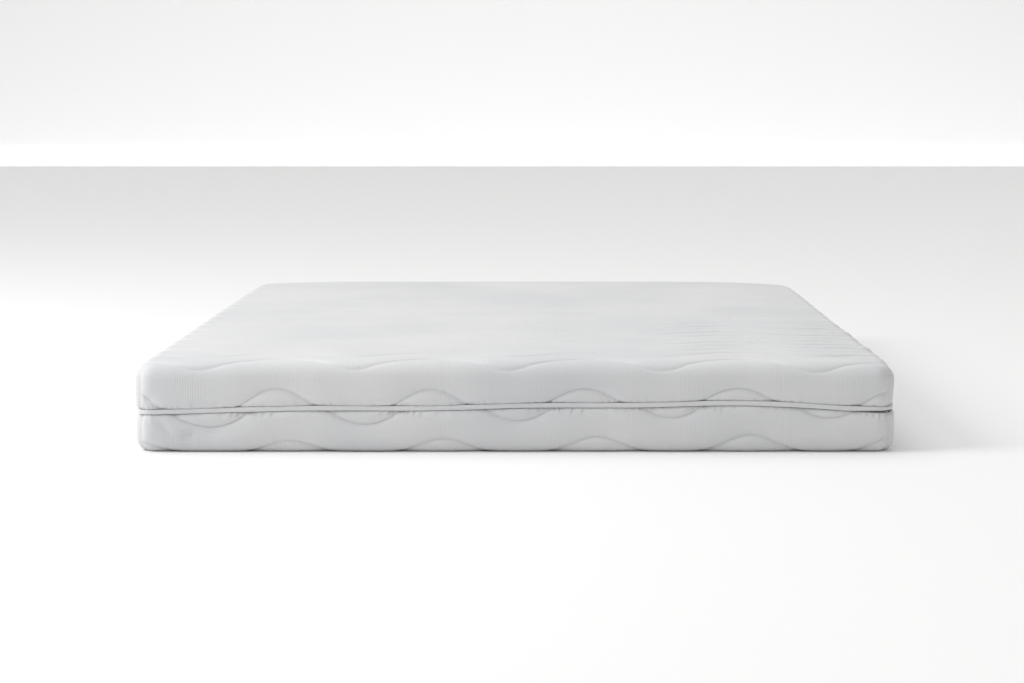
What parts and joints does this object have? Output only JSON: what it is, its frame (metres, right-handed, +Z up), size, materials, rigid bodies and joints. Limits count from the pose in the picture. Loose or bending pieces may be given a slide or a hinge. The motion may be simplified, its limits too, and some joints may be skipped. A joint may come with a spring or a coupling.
{
  "type": "memory foam mattress",
  "caption": "Foam mattress with a memory foam layer on a base foam, in a quilted knit cover that zips apart at mid-height.",
  "frame": {"origin": "middle of the mattress's underside, where it rests", "axes": "+X across the bed's width, +Y towards the head end, +Z up; the foot end faces -Y"},
  "size_m": [1.6, 2, 0.19],
  "materials": {
    "quilted_knit": "matte",
    "fibre_wadding": "matte",
    "nonwoven_backing": "matte",
    "edge_binding": "matte",
    "zip_tape": "matte",
    "zip_coil": "satin",
    "zip_metal": "satin",
    "sock_knit": "matte",
    "memory_foam": "matte",
    "base_foam": "matte",
    "foam_glue": "satin"
  },
  "bodies": {
    "lower_cover": {"lower_knit": "quilted_knit", "lower_wadding": "fibre_wadding", "lower_backing": "nonwoven_backing", "lower_corner_seams": "quilted_knit", "lower_edge_binding": "edge_binding", "lower_zip_flap": "quilted_knit", "lower_zip_tape": "zip_tape", "lower_zip_coil": "zip_coil", "lower_zip_stop": "zip_metal"},
    "core": {"inner_sock": "sock_knit", "base_foam": "base_foam", "glue_film": "foam_glue", "memory_foam": "memory_foam"},
    "upper_cover": {"upper_knit": "quilted_knit", "upper_wadding": "fibre_wadding", "upper_backing": "nonwoven_backing", "upper_corner_seams": "quilted_knit", "upper_edge_binding": "edge_binding", "upper_zip_flap": "quilted_knit", "upper_zip_tape": "zip_tape", "upper_zip_coil": "zip_coil", "upper_zip_stop": "zip_metal"},
    "slider": {"zip_slider": "zip_metal"},
    "puller": {"zip_puller": "zip_metal"}
  },
  "joints": [
    {"name": "core_lift", "type": "slide", "parent": "lower_cover", "child": "core", "axis": [0, 0, 1], "range_m": [0, 0.15]},
    {"name": "upper_cover_lift", "type": "slide", "parent": "core", "child": "upper_cover", "axis": [0, 0, 1], "range_m": [0, 0.15]},
    {"name": "slider_run", "type": "slide", "parent": "lower_cover", "child": "slider", "axis": [0, -1, 0], "range_m": [0, 1.8]},
    {"name": "puller_swing", "type": "hinge", "parent": "slider", "child": "puller", "pos_m": [0.794, 0.9, 0.095], "axis": [0, 0, 1], "range_deg": [0, 180]}
  ]
}
